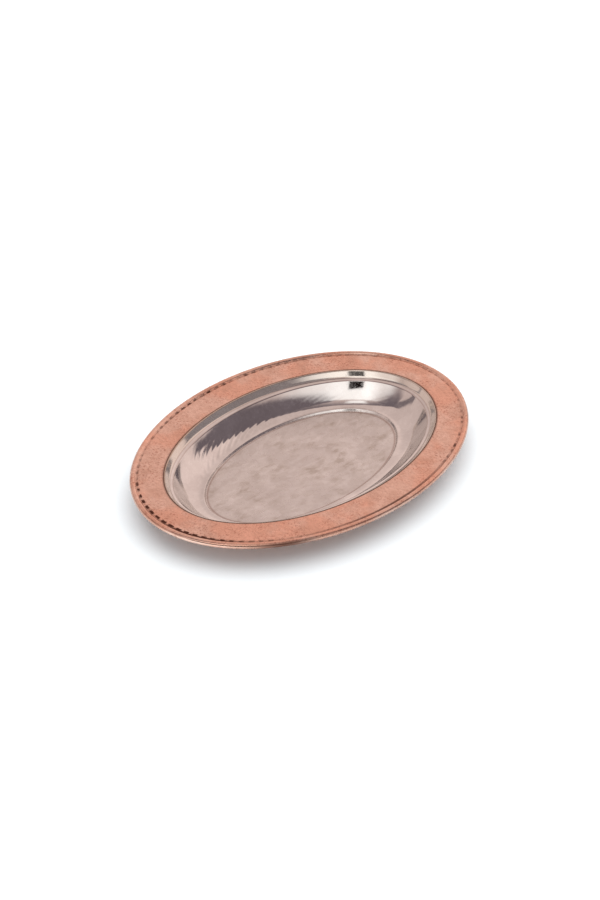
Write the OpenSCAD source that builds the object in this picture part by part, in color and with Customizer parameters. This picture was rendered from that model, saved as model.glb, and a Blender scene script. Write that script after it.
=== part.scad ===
// Oval serving tray of hammered copper, tinned inside, with its edge curled
// over a wire. X runs along the tray, Z is up, and the origin is on the
// table under the middle of the tray.

/* [Outline] */
// Length over the rim
tray_length = 350; // [290:1:440]
// Width over the rim
tray_width = 250; // [215:1:320]
// Radius of the oval's two ends
end_radius = 100; // [90:1:120]
// Height from the table to the top of the rim
tray_height = 30; // [24:0.5:40]

/* [Sheet and lining] */
// Thickness of the copper sheet
sheet_t = 1; // [0.7:0.1:1.4]
// Thickness of the tin lining
tin_t = 0.3; // [0.1:0.05:0.5]
// Room left between the copper and the tin
tin_gap = 0.05; // [0.02:0.01:0.1]

/* [Rim] */
// Diameter of the wire inside the curled edge
wire_d = 3.8; // [3:0.1:5]
// Room left round the wire
wire_gap = 0.1; // [0.05:0.05:0.3]
// Gap where the two ends of the wire meet
butt_gap = 0.6; // [0.2:0.1:2]
// Height of the rim above the flange
rim_rise = 1.5; // [1:0.1:2]
// Gap between the end of the curl and the flange
curl_gap = 0.6; // [0.3:0.1:1]
// Width of the chased line at the foot of the rim
chase_w = 1.2; // [0.6:0.1:2]
// Depth of the chased line
chase_d = 0.35; // [0.1:0.05:0.5]

/* [Flange] */
// Width of the flat flange between the rim and the well
flange_w = 25.5; // [15:0.5:32]

/* [Well] */
// Drop of the shoulder below the flange
shoulder_drop = 7; // [4:0.5:10]
// Width that the shoulder takes up
shoulder_run = 5; // [2:0.5:8]
// Width of the ledge below the shoulder
ledge_w = 3.5; // [2:0.5:8]
// Slope of the wall between the ledge and the cove, in degrees
wall_slope = 52; // [46:1:65]
// Radius of the cove between the wall and the panel
cove_r = 13; // [6:0.5:18]
// Width of the sloping step round the panel
step_w = 3; // [1:0.5:6]
// Height of the step round the panel
step_h = 1; // [0.5:0.1:2]

/* [Hidden] */
$fn = 180;

// A four-centred oval: two end arcs and two side arcs, each pair meeting on
// the line through its two centres. Every line parallel to the rim has the
// same four centres.
half_diff = (tray_length - tray_width) / 2;
end_c = tray_length / 2 - end_radius;
side_c = half_diff * (2 * end_c - half_diff) / (2 * (end_c - half_diff));
side_radius = side_c + tray_width / 2;
// A point on the line of the two centres, well outside the tray
far_point = [end_c, 0] + 5 * [end_c, side_c];

// The wall of the tray, from the rim inwards. Each "_in" is a distance in
// from the outer edge, measured to the copper's upper surface.
curl_bore = wire_d + 2 * wire_gap;
rim_d = curl_bore + 2 * sheet_t;
rim_z = tray_height - rim_d / 2;
flange_top = tray_height - rim_rise;
flange_in = rim_d + flange_w;
shoulder_in = flange_in + shoulder_run;
ledge_in = shoulder_in + ledge_w;
ledge_top = flange_top - shoulder_drop;
cove_foot = sheet_t + step_h;
wall_drop = ledge_top - cove_foot - cove_r * (1 - cos(wall_slope));
cove_in = ledge_in + wall_drop / tan(wall_slope);
foot_in = cove_in + cove_r * sin(wall_slope);
panel_in = foot_in + step_w;
// Where the swept wall ends, on the flat plate of the panel
plate_in = panel_in + 5;
// How far the plate reaches under the swept wall, and how far the straight
// stretches of the wall run into the ends of the cove, so that the sheet is
// one piece whatever its sizes
plate_lap = 2;
cove_lap = 0.5;

// The flange starts inside the wall of the curl, which it runs into
flange_start = [-(rim_d + curl_bore) / 2 - sheet_t / 3, flange_top];
flange_edge = [-flange_in, flange_top];
shoulder_foot = [-shoulder_in, ledge_top];
ledge_edge = [-ledge_in, ledge_top];
wall_foot = [-cove_in, ledge_top - wall_drop];
cove_end = [-foot_in, cove_foot];
panel_edge = [-panel_in, sheet_t];
plate_edge = [-plate_in, sheet_t];

function unit(v) = v / norm(v);
// Normal on the upper side of a line that runs inwards from a to b
function upper(a, b) = let (d = unit(b - a)) [d[1], -d[0]];
// The corner b of the line a-b-c, moved so that both its sides move by k
function mitre(a, b, c, k) =
    let (n = upper(a, b), m = upper(b, c)) b + k * (n + m) / (1 + n * m);
function lift(p, k) = p + [0, k];
function reversed(list) = [for (i = [len(list) - 1 : -1 : 0]) list[i]];

// The parts of the plan that an end arc and a side arc fill
module wedge(points) {
    translate([0, 0, -tray_height])
        linear_extrude(3 * tray_height) polygon(points);
}

module end_wedge() {
    wedge([[end_c, 0], [far_point[0], -far_point[1]], far_point]);
}

module side_wedge() {
    wedge([[end_c, 0], far_point, [-far_point[0], far_point[1]], [-end_c, 0]]);
}

// Carries a section round the oval. The section's x is measured from the
// outer edge, with the middle of the tray on its negative side.
module round_oval() {
    for (turn = [0, 180]) rotate([0, 0, turn]) {
        intersection() {
            translate([end_c, 0, 0]) rotate_extrude()
                translate([end_radius, 0]) children();
            end_wedge();
        }
        intersection() {
            translate([0, -side_c, 0]) rotate_extrude()
                translate([side_radius, 0]) children();
            side_wedge();
        }
    }
}

// A flat plate that reaches to "inset" in from the outer edge
module oval_plate(inset, t) {
    for (turn = [0, 180]) rotate([0, 0, turn]) {
        intersection() {
            translate([end_c, 0, 0]) cylinder(r = end_radius - inset, h = t);
            end_wedge();
        }
        intersection() {
            translate([0, -side_c, 0]) cylinder(r = side_radius - inset, h = t);
            side_wedge();
        }
    }
}

// Sections between two surfaces that lie "low" and "high" above the copper's
// own upper surface: the shoulder, ledge and wall, then the cove and step.
function upper_line(k) = [
    mitre(flange_edge, shoulder_foot, ledge_edge, k),
    mitre(shoulder_foot, ledge_edge, wall_foot, k),
    wall_foot + k * upper(ledge_edge, wall_foot)
];

// The end of the wall, drawn on into the cove in the middle of its thickness
function wall_lap(low, high) = [
    for (part = [0.25, 0.75]) wall_foot
        + (low + part * (high - low)) * upper(ledge_edge, wall_foot)
        + cove_lap * unit(wall_foot - ledge_edge)
];
// The start of the step, drawn back into the cove in the same way
function foot_lap(low, high) = [
    for (part = [0.25, 0.75]) lift(cove_end, low + part * (high - low))
        + [cove_lap, 0]
];

module cove_section(low, high) {
    reach = 3 * cove_r;
    translate([-foot_in, cove_foot + cove_r]) intersection() {
        difference() {
            circle(r = cove_r - low);
            circle(r = cove_r - high);
        }
        polygon([
            [0, 0],
            [0, -reach],
            reach * [sin(wall_slope / 2), -cos(wall_slope / 2)],
            reach * [sin(wall_slope), -cos(wall_slope)]
        ]);
    }
}

module lower_section(low, high) {
    cove_section(low, high);
    polygon(concat(
        [lift(cove_end, low)],
        foot_lap(low, high),
        [lift(cove_end, high)],
        [mitre(cove_end, panel_edge, plate_edge, high)],
        [lift(plate_edge, high), lift(plate_edge, low)],
        [mitre(cove_end, panel_edge, plate_edge, low)]
    ));
}

// The edge of the sheet: over the wire, down its outside and back under it
module curl_section() {
    translate([-rim_d / 2, rim_z]) difference() {
        circle(d = rim_d);
        circle(d = curl_bore);
        translate([-rim_d, flange_top - sheet_t - curl_gap - rim_z])
            square([rim_d, curl_gap]);
    }
}

module chased_line() {
    translate([-rim_d - chase_w / 2, flange_top]) polygon([
        [-chase_w / 2, chase_d],
        [-chase_w / 2, 0],
        [0, -chase_d],
        [chase_w / 2, 0],
        [chase_w / 2, chase_d]
    ]);
}

module copper_section() {
    difference() {
        union() {
            curl_section();
            polygon(concat(
                [flange_start, lift(flange_start, -sheet_t)],
                [mitre(flange_start, flange_edge, shoulder_foot, -sheet_t)],
                upper_line(-sheet_t),
                wall_lap(-sheet_t, 0),
                reversed(upper_line(0)),
                [flange_edge]
            ));
            lower_section(-sheet_t, 0);
        }
        chased_line();
    }
}

module tin_section() {
    top = tin_gap + tin_t;
    // Distance along the level for each millimetre across the shoulder, so
    // that the tin ends level with the flange
    level = norm([shoulder_run, shoulder_drop]) / shoulder_drop;
    polygon(concat(
        [flange_edge - [tin_gap * level, 0]],
        upper_line(tin_gap),
        wall_lap(tin_gap, top),
        reversed(upper_line(top)),
        [flange_edge - [top * level, 0]]
    ));
    lower_section(tin_gap, top);
}

module copper_sheet() {
    color("#dd9478") {
        round_oval() copper_section();
        oval_plate(plate_in - plate_lap, sheet_t);
    }
}

module rim_wire() {
    color("#8c7a6b") difference() {
        round_oval() translate([-rim_d / 2, rim_z]) circle(d = wire_d);
        translate([-butt_gap / 2, tray_width / 2 - rim_d, rim_z - rim_d / 2])
            cube([butt_gap, rim_d, rim_d]);
    }
}

module tin_lining() {
    color("#c0b0a6") {
        round_oval() tin_section();
        translate([0, 0, sheet_t + tin_gap]) oval_plate(plate_in - plate_lap, tin_t);
    }
}

copper_sheet();
rim_wire();
tin_lining();
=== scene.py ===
import math
import bpy
import numpy as np
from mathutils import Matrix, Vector


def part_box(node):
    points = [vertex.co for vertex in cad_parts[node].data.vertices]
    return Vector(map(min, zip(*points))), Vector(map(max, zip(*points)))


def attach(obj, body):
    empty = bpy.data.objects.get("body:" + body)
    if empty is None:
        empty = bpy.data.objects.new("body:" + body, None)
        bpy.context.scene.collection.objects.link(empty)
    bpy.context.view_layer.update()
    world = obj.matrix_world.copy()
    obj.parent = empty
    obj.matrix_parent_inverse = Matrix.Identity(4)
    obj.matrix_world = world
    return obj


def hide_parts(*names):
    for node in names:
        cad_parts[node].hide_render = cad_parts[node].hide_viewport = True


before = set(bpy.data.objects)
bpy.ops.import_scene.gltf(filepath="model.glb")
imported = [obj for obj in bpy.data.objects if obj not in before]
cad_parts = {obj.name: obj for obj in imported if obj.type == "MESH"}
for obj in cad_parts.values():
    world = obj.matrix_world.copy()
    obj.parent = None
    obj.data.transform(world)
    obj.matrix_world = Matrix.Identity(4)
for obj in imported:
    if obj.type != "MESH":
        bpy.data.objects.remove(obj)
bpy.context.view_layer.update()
print("tray: frame loaded")

mm = 0.001
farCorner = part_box("copper_sheet")[1]
halfLength, halfWidth, topHeight = [length / mm for length in farCorner]

# Every piece of the tray is a stack of oval rings. One ring is a row of eight
# numbers in mm and degrees: half length, half width, height, shift along,
# shift across, turn, place along the section, and 1 or -1 for the upper or
# the lower side. The place is 0 at the flange's inner edge and grows inwards.
outline = {
    "beadRadius": 3.0,          # the curled edge
    "flangeHeight": 28.5,
    # half length, half width, shift along and shift across, here and below
    "flangeInner": (144.1, 92.9, 0.8, 0.3),
    "lip": 0.7,                 # width of the easy bend into the shoulder
    "lipDrop": 0.2,
    "lipRound": 0.35,           # what the rounded corner takes of each line
    "shoulderFoot": (138.8, 86.8, 0.8, 0.3),
    "shoulderHeight": 22.3,
    "shoulderRound": 2.3,
    "ledgeInner": (135.6, 83.6, 0.8, 0.3),
    "ledgeHeight": 21.85,
    "ledgeRound": 0.7,
    "wallTop": 56.0,            # slope at the ledge, in degrees
    "wallEase": 0.78,           # degrees that the slope loses with each mm
    "wallLength": 15.0,
    "coveRadius": 12.0,
    "coveEnd": 1.5,             # slope where the cove stops, in degrees
    "coveFoot": (111.5, 63.7, 0.2, -0.2),
    "stepInner": (106.6, 60.0, 1.0, 0.1),
    "stepRun": 1.55,            # the step's face, across
    "stepTop": 3.6,
    "stepTopRound": 0.35,
    "stepFootRound": 0.4,
    "panelTurn": 3.7,
    "panelHeight": 1.35,
    "panelFirst": 0.9,          # the panel's outer and inner rings, as parts
    "panelLast": 0.012,         # of the step's foot
    "tinEdge": 0.45,            # how far inside the flange's edge the tin starts
    "tinThickness": 0.3,
    "copperBelowTin": 0.42,
    "copperThickness": 0.93,
    "undersideDrop": 1.42,      # about the height from the underside to the tin's face
}


def ring(a, b, z, shiftX=0.0, shiftY=0.0, turn=0.0, place=0.0, side=1.0):
    # one ring, as a table of a single row
    return np.array([[a, b, z, shiftX, shiftY, turn, place, side]], float)


def lengthAlong(rows):
    # summed length of the section, measured on the mean radius and the height
    mean = (rows[:, 0] + rows[:, 1]) / 2
    return np.concatenate([[0], np.cumsum(np.hypot(np.diff(mean), np.diff(rows[:, 2])))])


def takeAt(rows, key, places):
    # rows read off where key takes the given values, column by column
    return np.stack([np.interp(places, key, rows[:, k]) for k in range(rows.shape[1])], 1)


def roundCorners(rows, radii, steps=5):
    # each inner corner b of a-b-c becomes the quadratic curve from b - r(b-a)
    # to b + r(c-b): (1-s)^2 p + 2s(1-s) b + s^2 q
    out = [rows[:1]]
    s = np.linspace(0, 1, steps)[:, None]
    for k in range(1, len(rows) - 1):
        a, b, c = rows[k - 1], rows[k], rows[k + 1]
        before = math.hypot((b[0] + b[1] - a[0] - a[1]) / 2, b[2] - a[2])
        after = math.hypot((c[0] + c[1] - b[0] - b[1]) / 2, c[2] - b[2])
        p = b + (a - b) * min(0.5, radii[k] / before)
        q = b + (c - b) * min(0.5, radii[k] / after)
        out.append((1 - s) ** 2 * p + 2 * s * (1 - s) * b + s ** 2 * q)
    return np.concatenate(out + [rows[-1:]])


def sunk(rows, depth):
    # rows that run inwards, moved square to themselves into the metal: with
    # the direction of travel (u, w) a point moves by depth * (-w, u)
    mean = (rows[:, 0] + rows[:, 1]) / 2
    u, w = np.gradient(mean), np.gradient(rows[:, 2])
    size = np.hypot(u, w) + 1e-9
    out = rows.copy()
    out[:, 0] -= depth * w / size
    out[:, 1] -= depth * w / size
    out[:, 2] += depth * u / size
    return out


def underside(rows):
    out = rows.copy()
    out[:, 7] = -1
    return out


def wallRows(o):
    # slope falls evenly down the wall, then faster round the cove; the radius
    # and the height are its running cosine and sine, scaled to the two ends
    step = 0.25
    longest = 60    # more than the wall and the cove need
    s = np.arange(0, longest, step)
    easeEnd = o["wallTop"] - o["wallEase"] * o["wallLength"]
    slope = np.where(
        s < o["wallLength"],
        o["wallTop"] - o["wallEase"] * s,
        easeEnd - np.degrees((s - o["wallLength"]) / o["coveRadius"]),
    )
    slope = np.radians(slope[slope > o["coveEnd"]])
    across = np.concatenate([[0], np.cumsum(np.cos(slope)) * step])
    down = np.concatenate([[0], np.cumsum(np.sin(slope)) * step])
    part, fall = across / across[-1], down / down[-1]
    start, end = np.array(o["ledgeInner"]), np.array(o["coveFoot"])
    plan = start + (end - start) * part[:, None]
    height = o["ledgeHeight"] + (o["stepTop"] - o["ledgeHeight"]) * fall
    turn = o["panelTurn"] * part ** 3
    spare = np.zeros(len(part))
    return np.column_stack([plan[:, :2], height, plan[:, 2:], turn, spare, spare + 1])


def wellRows(o):
    # the tin's face, from the flange inwards nearly to the middle: straight
    # lines with rounded corners, the wall's own curve, and more straight lines
    a, b, x, y = o["flangeInner"]
    c, d, x2, y2 = o["shoulderFoot"]
    e, f, x3, y3 = o["ledgeInner"]
    g, h, x4, y4 = o["stepInner"]
    wall = wallRows(o)
    first, last = 6, -3    # the corners at its two ends take the other rows
    lip = o["tinEdge"] + o["lip"]
    shoulder = roundCorners(np.concatenate([
        ring(a - o["tinEdge"], b - o["tinEdge"], o["flangeHeight"], x, y),
        ring(a - lip, b - lip, o["flangeHeight"] - o["lipDrop"], x, y),
        ring(c, d, o["shoulderHeight"], x2, y2),
        ring(e, f, o["ledgeHeight"], x3, y3),
        wall[first:first + 1],
    ]), [0, o["lipRound"], o["shoulderRound"], o["ledgeRound"], 0])

    def flatRing(part):
        return ring(g * part, h * part, o["panelHeight"], x4, y4, o["panelTurn"])

    step = roundCorners(np.concatenate([
        wall[last:last + 1],
        ring(g + o["stepRun"], h + o["stepRun"], o["stepTop"], x4, y4, o["panelTurn"]),
        flatRing(1),
        flatRing(o["panelFirst"]),
    ]), [0, o["stepTopRound"], o["stepFootRound"], 0])
    rows = np.concatenate([shoulder[:-1], wall[first:last], step, flatRing(o["panelLast"])])
    rows[:, 6] = lengthAlong(rows)
    return rows


def sweptPoints(rows, angles):
    # x = a cos t, y = b sin t, turned and shifted ring by ring
    a, b, z, shiftX, shiftY, turn = [rows[:, k:k + 1] for k in range(6)]
    c, s = np.cos(np.radians(turn)), np.sin(np.radians(turn))
    x, y = a * np.cos(angles), b * np.sin(angles)
    return np.stack([shiftX + c * x - s * y, shiftY + s * x + c * y, z + 0 * x], -1)


def evenAngles(a, b, count):
    # angles that divide the oval a, b into equal lengths, read off the summed
    # lengths of its short chords
    t = np.linspace(0, 2 * math.pi, 7201)
    chords = np.hypot(a * np.diff(np.cos(t)), b * np.diff(np.sin(t)))
    run = np.concatenate([[0], np.cumsum(chords)])
    return np.interp(np.arange(count) * run[-1] / count, run, t)


def scatter(i, j, seed):
    # a repeatable number from 0 to 1 for each whole-number cell
    v = np.sin(i * 127.1 + j * 311.7 + seed * 74.7) * 43758.5453
    return v - np.floor(v)


def blows(u, v, cellsRound, seed, jitter=0.7):
    # u, v in cells, u closing after cellsRound: squared distance to the
    # nearest blow, so that each one is a dish with a ridge round it
    nearest = np.full(np.broadcast(u, v).shape, 9.0)    # further than any
    for di in (-1, 0, 1):
        for dj in (-1, 0, 1):
            i, j = np.floor(u) + di, np.floor(v) + dj
            wrapped = np.mod(i, cellsRound)
            cu = i + 0.5 + jitter * (scatter(wrapped, j, seed) - 0.5)
            cv = j + 0.5 + jitter * (scatter(wrapped, j, seed + 1) - 0.5)
            nearest = np.minimum(nearest, (u - cu) ** 2 + (v - cv) ** 2)
    return nearest


def rise(x, a, b):
    # 0 at a and 1 at b, eased in between and held outside: t^2 (3 - 2t)
    t = np.clip((x - a) / (b - a), 0, 1)
    return t * t * (3 - 2 * t)


def upward(points, side):
    # square to the two directions of the grid; on the upper side the rows run
    # outwards and on the lower side inwards, so side turns it upwards
    along = np.gradient(points, axis=0)
    around = np.roll(points, -1, 1) - np.roll(points, 1, 1)
    n = np.cross(along, around)
    length = np.linalg.norm(n, axis=-1, keepdims=True) + 1e-12
    return n / length * side[:, None, None]


def gridMesh(name, points, place, layers, material, node):
    # points is rows x columns x 3 in mm: quads between neighbours, the columns
    # close on themselves, and a fan of triangles closes each end of the rows.
    # u runs once round and v is the place along the section in decimetres.
    rows, cols = points.shape[:2]
    index = np.arange(rows * cols).reshape(rows, cols)
    right = np.roll(index, -1, 1)
    quads = np.stack([index[:-1], index[1:], right[1:], right[:-1]], -1)
    poles = np.stack([points[0].mean(0), points[-1].mean(0)])
    verts = np.concatenate([points.reshape(-1, 3), poles]) * mm
    first, last = rows * cols, rows * cols + 1
    fanStart = np.stack([np.full(cols, first), index[0], right[0]], -1)
    fanEnd = np.stack([np.full(cols, last), right[-1], index[-1]], -1)
    corners = np.concatenate([quads.ravel(), fanStart.ravel(), fanEnd.ravel()])
    sizes = np.concatenate([np.full((rows - 1) * cols, 4), np.full(2 * cols, 3)])
    mesh = bpy.data.meshes.new(name)
    mesh.vertices.add(len(verts))
    mesh.vertices.foreach_set("co", verts.ravel())
    mesh.loops.add(len(corners))
    mesh.loops.foreach_set("vertex_index", corners)
    mesh.polygons.add(len(sizes))
    mesh.polygons.foreach_set("loop_start", np.concatenate([[0], np.cumsum(sizes)[:-1]]))
    mesh.polygons.foreach_set("use_smooth", np.ones(len(sizes), bool))
    mesh.update(calc_edges=True)
    column = np.arange(cols) / cols
    after = column + 1 / cols
    v = place / 100
    quadU = np.stack([column, column, after, after], -1)
    quadV = np.stack([v[:-1], v[1:], v[1:], v[:-1]], -1)[:, None]
    cornerU = np.concatenate([
        np.broadcast_to(quadU, (rows - 1, cols, 4)).ravel(),
        np.stack([column, column, after], -1).ravel(),
        np.stack([column, after, column], -1).ravel(),
    ])
    cornerV = np.concatenate([
        np.broadcast_to(quadV, (rows - 1, cols, 4)).ravel(),
        np.full(3 * cols, v[0]),
        np.full(3 * cols, v[-1]),
    ])
    uv = mesh.uv_layers.new(name="round")
    uv.data.foreach_set("uv", np.stack([cornerU, cornerV], -1).ravel())
    for key, value in layers.items():
        value = np.broadcast_to(value, (rows, cols))
        ends = [value[0].mean(), value[-1].mean()]
        attribute = mesh.attributes.new(key, "FLOAT", "POINT")
        attribute.data.foreach_set("value", np.concatenate([value.ravel(), ends]))
    mesh.validate()
    mesh.materials.append(material)
    piece = bpy.data.objects.new(name, mesh)
    bpy.context.scene.collection.objects.link(piece)
    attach(piece, "root")
    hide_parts(node)
    print("tray:", name, len(verts), "points,", int((sizes - 2).sum()), "triangles")
    return piece


class Shade:
    # wraps a socket, so that sums on it add Math nodes to the tree in hand
    tree = None

    def __init__(self, socket):
        self.socket = socket

    @classmethod
    def node(cls, kind, settings=None, out=0, **inputs):
        made = cls.tree.nodes.new(kind)
        for key, value in (settings or {}).items():
            setattr(made, key, value)
        for key, value in inputs.items():
            # i0, i1 and so on are places in the node's list, the rest names
            numbered = key[0] == "i" and key[1:].isdigit()
            target = made.inputs[int(key[1:]) if numbered else key]
            if isinstance(value, Shade):
                cls.tree.links.new(value.socket, target)
            elif value is not None:
                target.default_value = value
        return cls(made.outputs[out])

    def output(self, out):
        # another output of the same node
        return Shade(self.socket.node.outputs[out])

    def maths(self, operation, other=None, swap=False):
        a, b = (other, self) if swap else (self, other)
        return Shade.node("ShaderNodeMath", {"operation": operation}, i0=a, i1=b)

    def __add__(self, other):
        return self.maths("ADD", other)

    def __radd__(self, other):
        return self.maths("ADD", other)

    def __sub__(self, other):
        return self.maths("SUBTRACT", other)

    def __rsub__(self, other):
        return self.maths("SUBTRACT", other, True)

    def __mul__(self, other):
        return self.maths("MULTIPLY", other)

    def __rmul__(self, other):
        return self.maths("MULTIPLY", other)

    def least(self, other):
        return self.maths("MINIMUM", other)

    def most(self, other):
        return self.maths("MAXIMUM", other)

    def size(self):
        return self.maths("ABSOLUTE")

    def fract(self):
        return self.maths("FRACT")

    def between(self, a, b, c=0.0, d=1.0):
        # c at a, d at b, eased in between and held outside
        return Shade.node(
            "ShaderNodeMapRange", {"interpolation_type": "SMOOTHSTEP"},
            i0=self, i1=a, i2=b, i3=c, i4=d,
        )


def mixColour(amount, first, second):
    def full(c):
        return c if isinstance(c, Shade) else (*c, 1.0)
    return Shade.node(
        "ShaderNodeMix", {"data_type": "RGBA"}, out=2,
        i0=amount, i6=full(first), i7=full(second),
    )


def objectPlace():
    return Shade.node("ShaderNodeTexCoord", out=3)


def noise(place, scale, detail=2.0, roughness=0.5):
    return Shade.node(
        "ShaderNodeTexNoise", {"noise_dimensions": "3D"},
        Vector=place, Scale=scale, Detail=detail, Roughness=roughness,
    )


def cells(place, scale, out=0):
    return Shade.node(
        "ShaderNodeTexVoronoi", {"feature": "F1", "voronoi_dimensions": "3D"}, out=out,
        Vector=place, Scale=scale, Randomness=1.0,
    )


def cellTone(place, scale):
    # one number from 0 to 1 for each cell
    return Shade.node("ShaderNodeSeparateColor", Color=cells(place, scale, out=1))


def bump(height, distance, strength):
    return Shade.node("ShaderNodeBump", Strength=strength, Distance=distance, Height=height)


def newMaterial(name):
    material = bpy.data.materials.new(name)
    material.use_nodes = True
    Shade.tree = material.node_tree
    return material, material.node_tree.nodes["Principled BSDF"]


def feed(shader, **inputs):
    for key, value in inputs.items():
        socket = shader.inputs[key.replace("_", " ")]
        if isinstance(value, Shade):
            Shade.tree.links.new(value.socket, socket)
        else:
            socket.default_value = value


def layer(name):
    # a number for each point, which gridMesh has stored on the piece
    return Shade.node("ShaderNodeAttribute", {"attribute_name": name}, out=2)


# scales are in cells to the metre, and bump distances in metres
copperLook = {
    "bright": (1.0, 0.71, 0.59),
    "deep": (1.0, 0.59, 0.45),
    "stain": (0.66, 0.40, 0.30),
    "freckle": (0.42, 0.15, 0.10),
    # dark specks, notches and groove, and the colour of the painted shade and dark reflection
    "dark": (0.10, 0.034, 0.020),
    "patchScale": 26.0,         # slow change between bright and deep
    "stainScale": 32.0,
    "stainAmount": 0.42,
    "fineScale": 240.0,
    "markScale": 330.0,         # planishing marks
    "smallMarkScale": 610.0,
    "toneScale": 300.0,         # marks that differ in tone
    "toneAmount": 0.26,
    "broadToneScale": 120.0,
    "broadToneAmount": 0.20,
    "freckleScale": 520.0,
    "freckleAmount": 0.55,
    "notchAlong": (0.40, 0.18),  # where a notch ends and is darkest, in pitches
    "notchAcross": (1.8, 0.7),   # the same across the row, in mm
    "lineAcross": (1.5, 0.7),    # the same for the chased line
    "roughness": 0.30,
    "beadRoughness": 0.17,
    "beadMarks": 0.12,          # how much of the marks the smooth bead keeps
    "bumpDistance": 0.0003,
    "bump": 0.85,
}


def notchesAndLine(place):
    # the punched notches and the chased line, each 1 where it is darkest, from
    # the place round the tray and the place along the section in mm
    look = copperLook
    around = Shade.node("ShaderNodeUVMap", {"uv_map": "round"})
    u = Shade.node("ShaderNodeSeparateXYZ", Vector=around)
    out = u.output(1) * 100
    ragged = noise(place, 420.0, 2.0, 0.6) - 0.5
    uneven = noise(place, 90.0, 2.0, 0.6).between(0.38, 0.54, 0.3, 1.0)
    along = ((u * sheet["notches"] + ragged * 0.5).fract() - 0.5).size()
    across = (out + layer("notchPlace") + ragged * 1.4).size()
    notch = along.between(*look["notchAlong"]) * across.between(*look["notchAcross"])
    notch = (notch * layer("notch") * uneven).least(1)
    beside = (out + sheet["groovePlace"] + ragged * 0.5).size()
    return notch, beside.between(*look["lineAcross"]) * layer("line")


def copperMaterial():
    material, shader = newMaterial("hammered copper")
    look = copperLook
    place = objectPlace()
    patch = noise(place, look["patchScale"], 3.0, 0.55)
    fine = noise(place, look["fineScale"], 3.0, 0.6)
    marks = cells(place, look["markScale"])
    smallMarks = cells(place, look["smallMarkScale"])
    colour = mixColour(patch.between(0.40, 0.60), look["deep"], look["bright"])
    stain = noise(place, look["stainScale"], 3.0, 0.65).between(0.50, 0.68, 0.0, look["stainAmount"])
    colour = mixColour(stain, colour, look["stain"])
    colour = mixColour(fine.between(0.35, 0.7, 0.12, 0.0), colour, look["dark"])
    tone = cellTone(place, look["toneScale"]) * look["toneAmount"]
    tone = tone + cellTone(place, look["broadToneScale"]) * look["broadToneAmount"]
    colour = mixColour(tone, colour, look["stain"])
    freckle = noise(place, look["freckleScale"], 3.0, 0.65).between(0.52, 0.64)
    freckle = freckle * noise(place, 45.0, 2.0, 0.5).between(0.38, 0.60)
    colour = mixColour(freckle * look["freckleAmount"], colour, look["freckle"])
    notch, line = notchesAndLine(place)
    # real patina on the underside, and painted shade and a painted dark reflection along the tin's
    # border and the curl
    dark = notch.most(line).most(layer("patinaAndShade"))
    colour = mixColour(dark, colour, look["dark"])
    bead = layer("polish")
    rough = (1 - bead) * look["roughness"] + bead * look["beadRoughness"]
    rough = rough + fine.between(0.3, 0.7, -0.05, 0.07) + dark * 0.25
    height = marks + smallMarks * 0.5 + fine * 0.5
    height = height * (1 - bead * (1 - look["beadMarks"])) - notch * 0.8
    feed(
        shader, Base_Color=colour, Metallic=1 - dark * 0.15, Roughness=rough,
        Normal=bump(height, look["bumpDistance"], look["bump"]),
    )
    return material


tinLook = {
    "bright": (0.88, 0.88, 0.87),
    "darker": (0.76, 0.75, 0.74),
    # dark specks, and the colour of the painted shade at the tin's edge and corners
    "edge": (0.26, 0.13, 0.09),
    "warm": (0.80, 0.68, 0.52),      # the shoulder, where copper shows through
    "warmAmount": 0.3,
    "smudge": (0.44, 0.39, 0.33),
    "patchScale": 30.0,
    "fineScale": 300.0,
    "markScale": 230.0,
    "smallMarkScale": 520.0,
    "wipeTurn": 0.65,                # the wiping runs this way, in radians
    "wipeLength": 0.45,              # scale along it, so that streaks are long
    "streakScale": 150.0,
    "toneScale": 260.0,
    "smudgeScale": 38.0,
    "roughness": 0.08,
    "panelRoughness": 0.30,
    "bumpDistance": 0.0002,
    "bump": 0.5,
}


def tinMaterial():
    material, shader = newMaterial("wiped tin")
    look = tinLook
    place = objectPlace()
    patch = noise(place, look["patchScale"], 3.0, 0.6)
    fine = noise(place, look["fineScale"], 3.0, 0.6)
    marks = cells(place, look["markScale"])
    smallMarks = cells(place, look["smallMarkScale"])
    colour = mixColour(patch.between(0.35, 0.7), look["darker"], look["bright"])
    colour = mixColour(fine.between(0.4, 0.75, 0.08, 0.0), colour, look["edge"])
    wiped = Shade.node(
        "ShaderNodeMapping", Vector=place,
        Rotation=(0, 0, look["wipeTurn"]), Scale=(look["wipeLength"], 1.0, 1.0),
    )
    streak = noise(wiped, look["streakScale"], 4.0, 0.65)
    smudge = noise(place, look["smudgeScale"], 3.0, 0.6).between(0.46, 0.66)
    worn = streak.between(0.44, 0.58) * 0.36 * smudge
    worn = worn + cellTone(wiped, look["toneScale"]) * 0.22 + smudge * 0.07
    panel = layer("panel")
    colour = mixColour(worn * panel, colour, look["smudge"])
    # painted shade along the tin's outer edge and in its corners
    colour = mixColour(layer("patinaAndShade"), colour, look["edge"])
    shoulder = layer("shoulder")
    colour = mixColour(shoulder * look["warmAmount"], colour, look["warm"])
    rough = (1 - panel) * look["roughness"] + panel * look["panelRoughness"]
    rough = rough + fine.between(0.3, 0.7, -0.03, 0.05)
    # the marks show on the panel, and the wall is nearly smooth
    height = (marks * 0.7 + smallMarks * 0.3) * (panel * 1.2 + 0.04)
    height = height + fine * (panel * 0.3 + 0.01) + streak * panel * 0.5
    feed(
        shader, Base_Color=colour, Metallic=1 - shoulder * 0.11, Roughness=rough,
        Normal=bump(height, look["bumpDistance"], look["bump"]),
    )
    return material


wireLook = {
    "steel": (0.42, 0.40, 0.38),
    "rust": (0.20, 0.11, 0.07),
    "rustScale": 60.0,
    "fineScale": 500.0,
    "roughness": (0.35, 0.55),       # smoothest, roughest
    "bumpDistance": 0.0001,
    "bump": 0.4,
}


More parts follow.
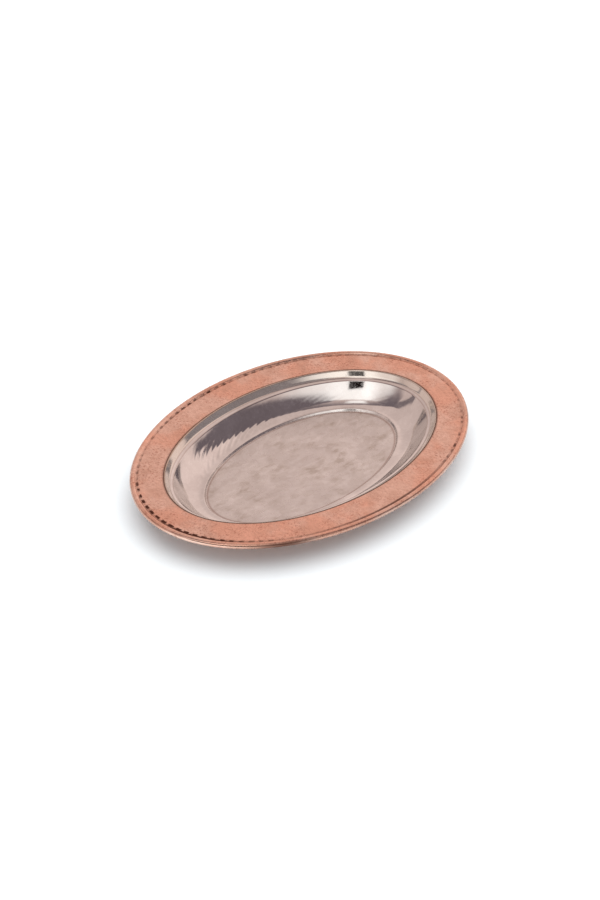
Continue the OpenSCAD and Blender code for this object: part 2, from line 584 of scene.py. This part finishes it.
def wireMaterial():
    material, shader = newMaterial("rim wire steel")
    look = wireLook
    place = objectPlace()
    fine = noise(place, look["fineScale"], 3.0, 0.6)
    rust = noise(place, look["rustScale"], 4.0, 0.6).between(0.5, 0.7)
    feed(
        shader,
        Base_Color=mixColour(rust, look["steel"], look["rust"]),
        Metallic=1 - rust * 0.6,
        Roughness=fine.between(0.3, 0.7, *look["roughness"]),
        Normal=bump(fine, look["bumpDistance"], look["bump"]),
    )
    return material


# the sheet: panel, cove, wall, ledge, shoulder, flange and the curled edge.
# A stretch is (middle, width, strength), the first two in degrees round.
sheet = {
    "columns": 640,
    "groovePlace": 25.0,        # places out from the flange's inner edge
    "grooveDepth": 0.30,
    "grooveWidth": 0.7,
    "lineDark": 0.12,           # dirt in the groove, and where there is more
    "lineStretches": [(203, 17, 1.1), (275, 26, 0.7)],
    "notches": 104,
    "notchDepth": 0.30,
    "notchLength": (0.40, 0.15),  # where a notch ends and is deepest, in pitches
    "notchWidth": 0.8,
    "notchPlace": 25.0,
    "notchInwards": 1.4,        # how far the row moves in on its deepest stretch
    "notchLeast": 0.4,          # strength all round, and more on some stretches
    "notchStretch": (188, 30, 0.6),
    "notchOthers": [(98, 22, 0.6), (314, 14, 0.5)],
    "blowSize": 5.5,            # hammer marks on the flange
    "blowDepth": 0.1,
    "blowLevel": 0.2,           # keeps the flange at about its height
    "flangeRound": 880,         # round the flange, in mm
    "beadPlace": 26.0,          # where the curl leaves the flange
    "borePlace": 50.0,
    "curlEnd": 357.0,
    "darker": 0.4,                # painted shade along the curl's outer face
    # where the painted shade is left off, so that the highlight stays
    "keptHighlight": (205, 18, 1.0),
    # painted dark reflection on the curl's outer face, on the stretch beside it
    "darkReflection": (236, 13, 0.9),
    "undersideDark": 0.35,
    "borderShade": [(345, 38, 1.3), (150, 45, 0.7)],   # painted shade beside the tin, its widths in mm
    "borderShadeStrength": 0.85,
}

lining = {
    "columns": 704,
    "wallCells": 70,            # hammer marks round the wall
    "wallBlow": 22.0,
    "wallJitter": 0.35,
    "wallSlant": 5.0,           # mm down the wall for one cell sideways
    "wallDepth": 1.12,
    "wallLevel": 0.16,
    "wallStretch": (112, 27, 1.4),
    "wallElsewhere": 0.05,
    "smallBlow": 4.6,
    "smallDepth": 0.02,
    "panelBlow": 7.0,
    "panelDepth": 0.07,
    "panelLevel": 0.2,
    "creases": [(8.2, 0.5, 1.0), (11.3, 0.5, 1.0)],  # painted shade at the ledge's two edges: place, width and strength
    "stepCrease": (4.1, 0.9, 1.2),                   # the same from the cove's foot
    "creaseShade": 0.4,
    "edgeShade": 0.5,            # painted shade along the tin's outer edge
    "edgeStretch": (140, 60, 0.45),
}


def stretch(angles, middle, width, strength=1.0):
    # a bell round the oval, strength * exp(-(apart / width)^2), in degrees
    apart = np.mod(np.degrees(angles) - middle + 180, 360) - 180
    return strength * np.exp(-(apart / width) ** 2)


def stretches(angles, given):
    return sum(stretch(angles, *one) for one in given)


def wellBlows(place, height, angles, o):
    # hammer marks of the wall and cove, deepest on one long stretch, and none
    # on the shoulder, ledge and step: the squared distance to the nearest blow,
    # less about its mean, times a depth. The height is that of the tin's face, and
    # the marks fade near the step and over the wall's upper part.
    p, cellsRound = place[:, None], lining["wallCells"]
    elsewhere = lining["wallElsewhere"]
    most = np.minimum(1, stretch(angles, *lining["wallStretch"]))
    deep = elsewhere + (1 - elsewhere) * most
    lowest, highest = o["stepTop"] + 0.03, o["ledgeHeight"] - 6.5
    onWall = 0.06 + 0.94 * rise(height, highest, highest - 5.0)
    onWall = onWall * rise(height, lowest, lowest + 0.45)
    onWall = onWall * rise(height, o["ledgeHeight"] - 0.5, o["ledgeHeight"] - 3.0)
    turns = (np.arange(len(angles)) / len(angles))[None, :]
    u = turns * cellsRound - p / lining["wallSlant"]
    dish = blows(u, p / lining["wallBlow"], cellsRound, 3, lining["wallJitter"])
    small = blows(u * 2 + 0.3, p / lining["smallBlow"], cellsRound * 2, 7, 0.8)
    push = lining["wallDepth"] * (dish - lining["wallLevel"]) * deep[None, :]
    return onWall[:, None] * (push + lining["smallDepth"] * small)


def waves(angles, place):
    # slow unevenness of hand work on the flange: two sines round the tray, the
    # second of which turns a little across it, in mm
    t, p = angles[None, :], place[:, None]
    onFlange = rise(p, 1.0, -6.0) * rise(p, -25.6, -20.0)
    return onFlange * (0.10 * np.sin(3 * t + 0.6) + 0.07 * np.sin(7 * t + 2.1 + p * 0.08))


def curlRows(radius, start, stop, count, side):
    # a circle in the section of the bead; 0 degrees points inwards and 90 up
    r = outline["beadRadius"]
    f = np.radians(np.linspace(start, stop, count))
    middle = ring(halfLength - r, halfWidth - r, topHeight - r, side=side)
    rows = np.repeat(middle, count, 0)
    rows[:, 0] -= radius * np.cos(f)
    rows[:, 1] -= radius * np.cos(f)
    rows[:, 2] += radius * np.sin(f)
    rows[:, 6] = -sheet["beadPlace"] - r * (f - f[0])
    return rows


def coveFoot(well, o):
    # the place along the section where the cove ends and the step begins
    return np.interp(-o["stepTop"], -well[:, 2], well[:, 6])


def sheetRows(o, s):
    # once round the section: under the tin outwards, over the flange, round the
    # curl and back inside it, then inwards along the underside
    r, thick = o["beadRadius"], o["copperThickness"]
    inside = r - thick
    meet = math.asin((o["flangeHeight"] - topHeight + r) / r)
    leave = math.asin((o["flangeHeight"] - thick - topHeight + r) / inside)
    bead = curlRows(r, math.degrees(meet), s["curlEnd"], 28, 1)
    bore = curlRows(inside, s["curlEnd"], math.degrees(leave), 12, -1)
    bore[:, 6] = -s["borePlace"]
    a, b, x, y = o["flangeInner"]
    line = np.concatenate([ring(a, b, o["flangeHeight"], x, y), bead[:1]])
    width = lengthAlong(line)[-1]
    line[:, 6] = [0, -width]
    # rows lie close together at the groove, and at the step under the tin
    steps = np.concatenate([np.linspace(0, 20.5, 22), np.arange(21.1, width - 0.1, 0.42)])
    flange = takeAt(line, -line[:, 6], steps)
    flangeBelow = takeAt(line, -line[:, 6], np.linspace(width - 2.5, 1.2, 8))
    flangeBelow[:, 2] -= thick
    well = wellRows(o)
    foot = coveFoot(well, o)
    well = takeAt(well, well[:, 6], np.concatenate([
        np.arange(0, foot - 2, 2.6),
        np.arange(foot - 1, foot + 7, 0.8),
        np.linspace(foot + 8, well[-1, 6], 8),
    ]))
    underTin = sunk(well, o["copperBelowTin"])[::-1]
    below = sunk(well, o["copperBelowTin"] + thick)
    below = below[below[:, 6] > 2.5]    # the flange's underside runs up to it
    return np.concatenate([underTin, flange, bead[1:], bore, underside(flangeBelow), underside(below)])


def makeCopper(material):
    o, s = outline, sheet
    columns = s["columns"]
    angles = evenAngles(halfLength, halfWidth, columns)
    rows = sheetRows(o, s)
    place, side = rows[:, 6], rows[:, 7]
    points = sweptPoints(rows, angles)
    p, upper, lower = place[:, None], (side > 0)[:, None], (side < 0)[:, None]
    # the groove and the notches are pushed in, each a bell across the section
    near = stretch(angles, *s["notchStretch"][:2])
    strength = s["notchLeast"] + s["notchStretch"][2] * near + stretches(angles, s["notchOthers"])
    strength = np.minimum(strength, 1)
    notchAt = s["notchPlace"] - s["notchInwards"] * near
    onTop = upper & (p > -s["beadPlace"]) & (p < 0.2)
    groove = np.exp(-((p + s["groovePlace"]) / s["grooveWidth"]) ** 2)
    turns = (np.arange(columns) / columns)[None, :]
    pitch = np.abs(np.mod(turns * s["notches"], 1) - 0.5)
    notch = np.exp(-((p + notchAt) / s["notchWidth"]) ** 2)
    notch = notch * rise(pitch, *s["notchLength"]) * strength
    cellsRound = round(s["flangeRound"] / s["blowSize"])
    dish = blows(turns * cellsRound, p / s["blowSize"], cellsRound, 11, 0.8)
    flat = rise(p, 0.5, -2.0) * rise(p, -25.5, -23.5)    # the flange's own width
    push = onTop * (-s["grooveDepth"] * groove - s["notchDepth"] * notch)
    push = push + flat * s["blowDepth"] * (dish - s["blowLevel"]) + waves(angles, place)
    belowTin = np.where(side > 0, o["copperBelowTin"], o["undersideDrop"])
    push = push + (p > 0) * wellBlows(place, rows[:, 2] + belowTin, angles, o)
    points = points + push[..., None] * upward(points, side)
    # painted shade darkens the curl's outer face all round but for a stretch that keeps its highlight,
    # and a painted dark reflection lies on the stretch beside it
    outer = upper * rise(p, -30.5, -32.0)
    darker = outer * s["darker"] * (1 - stretch(angles, *s["keptHighlight"]))
    darkReflection = outer * stretch(angles, *s["darkReflection"])
    # painted shade: a dark line on the flange where the tin begins, broadest at the two ends
    borderShade = rise(p, -0.9 - stretches(angles, s["borderShade"]), -0.1) * s["borderShadeStrength"]
    line = np.minimum(1, s["lineDark"] + stretches(angles, s["lineStretches"]))
    layers = {
        "polish": upper * rise(p, -25.7, -26.6),
        "notch": onTop * (strength + 0.8 * near),
        "notchPlace": notchAt[None, :],
        "line": onTop * line,
        # real patina underneath; painted shade at the tin's border and on the curl, and a painted dark
        # reflection
        "patinaAndShade": onTop * borderShade + lower * s["undersideDark"] + np.maximum(darkReflection, darker),
    }
    return gridMesh("copperSheet", points, place, layers, material, "copper_sheet")


def makeTin(material):
    o, s = outline, lining
    angles = evenAngles(halfLength, halfWidth, s["columns"])
    well = wellRows(o)
    foot, middle = coveFoot(well, o), well[-1, 6]
    # the face outwards from the middle and the back inwards again, with close
    # rows at the step
    face = takeAt(well, well[:, 6], np.concatenate([
        np.arange(0, 12.6, 0.55),
        np.arange(12.8, foot - 1.5, 0.9),
        np.arange(foot - 1.4, foot + 7.4, 0.3),
        np.linspace(foot + 8.0, middle, 22),
    ]))
    back = underside(sunk(face, o["tinThickness"]))[1::4]
    rows = np.concatenate([face[::-1], back])
    place, side = rows[:, 6], rows[:, 7]
    p = place[:, None]
    points = sweptPoints(rows, angles)
    heights = np.where(side > 0, rows[:, 2], rows[:, 2] + o["tinThickness"])
    push = wellBlows(place, heights, angles, o)
    # the panel's blows lie on a square grid that never closes on itself
    x, y = points[..., 0] / s["panelBlow"] + 200, points[..., 1] / s["panelBlow"] + 200
    dish = blows(x, y, 100000, 21, 0.9)
    onPanel = rise(p, foot + 6.0, foot + 9.0) * rise(p, middle, middle - 12)
    push = push + onPanel * s["panelDepth"] * (dish - s["panelLevel"])
    points = points + push[..., None] * upward(points, side)
    # painted shade in the corners at both edges of the ledge and on the step
    stepAt, stepWide, stepStrength = s["stepCrease"]
    creases = s["creases"] + [(foot + stepAt, stepWide, stepStrength)]
    cornerShade = sum(strength * np.exp(-((p - at) / wide) ** 2) for at, wide, strength in creases)
    # painted shade along the tin's outer edge, more on one stretch
    edge = rise(p, 2.0, 0.4) * (s["edgeShade"] + stretch(angles, *s["edgeStretch"]))
    layers = {
        "panel": rise(p, foot - 2.0, foot + 5.0),
        "shoulder": rise(p, 8.6, 7.4),
        "patinaAndShade": edge + cornerShade * s["creaseShade"],
    }
    return gridMesh("tinLining", points, place, layers, material, "tin_lining")


wire = {
    "radius": 1.9,
    "columns": 480,
    "sides": 14,
    "gap": 0.6,                 # between its two ends
}


def makeWire(material):
    # a round wire on the bead's centre line, its ends butted at the back: a
    # circle square to an oval, r cos f outwards and r sin f up
    r, radius = outline["beadRadius"], wire["radius"]
    a, b, z = halfLength - r, halfWidth - r, topHeight - r
    half = wire["gap"] / 2 / a
    t = np.linspace(math.pi / 2 + half, 2.5 * math.pi - half, wire["columns"])[:, None]
    f = np.linspace(0, 2 * math.pi, wire["sides"], endpoint=False)[None, :]
    out = np.stack([b * np.cos(t), a * np.sin(t)], -1)
    out = out / np.linalg.norm(out, axis=-1, keepdims=True)
    x = a * np.cos(t) + radius * np.cos(f) * out[..., 0]
    y = b * np.sin(t) + radius * np.cos(f) * out[..., 1]
    points = np.stack(np.broadcast_arrays(x, y, z + radius * np.sin(f)), -1)
    lengthways = np.linspace(0, 900, wire["columns"])
    return gridMesh("rimWire", points, lengthways, {}, material, "rim_wire")


copperSheet = makeCopper(copperMaterial())
tinLining = makeTin(tinMaterial())
rimWire = makeWire(wireMaterial())
print("tray: pieces and materials")

# The surroundings are painted on the world by two angles as seen from the
# tray, in degrees. "over" runs from 0 at the horizon behind the camera through
# 90 straight up to 180 at the far side, and "side" from -90 on the camera's
# left to 90 on its right.
studio = {
    "azimuth": -37.4,
    "elevation": 39.0,
    "distance": 2.337,
    "lens": 150.0,
    "sensor": 36.0,
    "aim": (0.0, 0.0, 0.027),
    "offset": (-0.0015, -0.00435),   # right and up, in metres at the tray
    "surround": (0.69, 0.535, 0.49),
    "farRoom": (0.86, 0.665, 0.605),
    "shade": (0.175, 0.137, 0.148),
    "bright": (1.35, 1.28, 1.24),
    "dusk": (0.15, 0.12, 0.12),      # low down behind the tray
    "lowDark": (0.03, 0.022, 0.02),  # low down behind the camera
    "camera": (0.012, 0.008, 0.007),
    "diffuse": (0.77, 0.80, 0.83),   # the same room as matt surfaces see it
    "strength": 1.0,
    "floorHalf": 6.0,
    "floorDark": (0.87, 0.89, 0.895),
    "floorLight": (0.89, 0.91, 0.915),
}


def direction(azimuth, elevation):
    # from the tray, with azimuth 0 in front and 90 on the right
    a, e = math.radians(azimuth), math.radians(elevation)
    return Vector((math.sin(a) * math.cos(e), -math.cos(a) * math.cos(e), math.sin(e)))


def shownAngles():
    # over = atan2(up, towards the camera) and side = asin(to the right)
    turned = Shade.node(
        "ShaderNodeMapping", {"vector_type": "POINT"},
        Vector=Shade.node("ShaderNodeTexCoord"),
        Rotation=(0, 0, math.radians(-studio["azimuth"])),
    )
    x = Shade.node("ShaderNodeSeparateXYZ", Vector=turned)
    y, z = x.output(1), x.output(2)
    inDegrees = 180 / math.pi
    return z.maths("ARCTAN2", y * -1) * inDegrees, x.maths("ARCSINE") * inDegrees


def darkRight(over, side):
    # the room's dark side, from the light bank over to the far side, with an
    # inner edge that runs outwards as it climbs
    inner = over.between(45, 118, 14, 64)
    dark = (side - inner).between(-3, 4) * side.between(80, 74)
    return dark * over.between(36, 47) * over.between(141, 131)


def darkLeft(over, side):
    # a narrow dark streak that runs outwards as it climbs
    middle = over.between(62, 108, 32, 71)
    dark = (side * -1 - middle).size().between(11, 6)
    return dark * over.between(54, 64) * over.between(114, 108)


def lightBank(over, side):
    # a band that drops a little to the right and is brightest in the middle
    bank = (over + side * 0.2 - 40).size().between(15, 6)
    bank = bank * side.between(-50, -34) * side.between(50, 30)
    return bank * (0.62 + 0.38 * side.size().between(26, 12))


def ceiling(over, side):
    # darkens above the bank, up to a sharp edge that is bent like an arch
    arch = over + side.size() * 0.4
    dark = arch.between(50, 90) * arch.between(96, 93) * side.size().between(58, 46)
    return dark * side.size().between(4, 18, 0.7, 0.95)


def lamp(over, side):
    # a soft light between the bank and the ceiling's edge
    return (side + 2).size().between(10, 4) * (over - 66).size().between(14, 6)


def farDusk(over, side):
    return over.size().between(172, 176) * side.size().between(66, 54)


def nearDark(over, side):
    return over.between(27, 22) * over.between(-12, -6) * side.size().between(48, 34)


def cameraShape(over, side):
    # the dark square of the camera in front of the bank
    return (over - 35.5).size().between(5.6, 5.0) * side.size().between(6.4, 5.8)


def makeWorld():
    world = bpy.data.worlds.new("studio")
    bpy.context.scene.world = world
    world.use_nodes = True
    Shade.tree = world.node_tree
    over, side = shownAngles()
    # the room is lighter behind the tray and to its right
    room = mixColour((over - 141 + side).between(-9, 9), studio["surround"], studio["farRoom"])
    dark = darkRight(over, side).most(darkLeft(over, side) * 0.9)
    colour = mixColour(dark, room, studio["shade"])
    colour = mixColour(lightBank(over, side), colour, studio["bright"])
    colour = mixColour(ceiling(over, side), colour, studio["shade"])
    colour = mixColour(lamp(over, side) * 0.8, colour, studio["bright"])
    colour = mixColour(farDusk(over, side), colour, studio["dusk"])
    colour = mixColour(nearDark(over, side), colour, studio["lowDark"])
    colour = mixColour(cameraShape(over, side), colour, studio["camera"])
    seenByMatt = Shade.node("ShaderNodeLightPath", out=2)
    colour = mixColour(seenByMatt, colour, studio["diffuse"])
    background = Shade.tree.nodes["Background"]
    feed(background, Color=colour, Strength=studio["strength"])


def makeFloor():
    material, shader = newMaterial("paper floor")
    grain = noise(objectPlace(), 300.0, 2.0, 0.5)
    colour = mixColour(grain, studio["floorDark"], studio["floorLight"])
    feed(shader, Base_Color=colour, Roughness=0.9, Specular_IOR_Level=0.1)
    h = studio["floorHalf"]
    mesh = bpy.data.meshes.new("floor")
    mesh.from_pydata([(-h, -h, 0), (h, -h, 0), (h, h, 0), (-h, h, 0)], [], [(0, 1, 2, 3)])
    mesh.materials.append(material)
    floor = bpy.data.objects.new("floor", mesh)
    bpy.context.scene.collection.objects.link(floor)


overheadLight = {
    "azimuth": 100.0,
    "elevation": 81.0,
    "distance": 2.4,
    "size": 4.4,
    "power": 66.0,
}


def makeLight(name, given):
    # a round lamp that faces the tray and isn't mirrored in it
    place = direction(given["azimuth"], given["elevation"]) * given["distance"]
    data = bpy.data.lights.new(name, "AREA")
    data.shape = "DISK"
    data.size = given["size"]
    data.energy = given["power"]
    light = bpy.data.objects.new(name, data)
    light.location = place
    light.rotation_euler = place.to_track_quat("Z", "Y").to_euler()
    light.visible_glossy = False
    bpy.context.scene.collection.objects.link(light)


def makeCamera():
    back = direction(studio["azimuth"], studio["elevation"])
    turn = back.to_track_quat("Z", "Y")
    aim = Vector(studio["aim"]) + turn @ Vector((*studio["offset"], 0))
    data = bpy.data.cameras.new("camera")
    data.sensor_fit = "HORIZONTAL"
    data.sensor_width = studio["sensor"]
    data.lens = studio["lens"]
    camera = bpy.data.objects.new("camera", data)
    camera.location = aim + back * studio["distance"]
    camera.rotation_euler = turn.to_euler()
    bpy.context.scene.collection.objects.link(camera)
    bpy.context.scene.camera = camera


makeWorld()
makeFloor()
makeLight("overheadLight", overheadLight)
makeCamera()
bpy.context.scene.view_settings.view_transform = "Standard"
print("tray: studio")
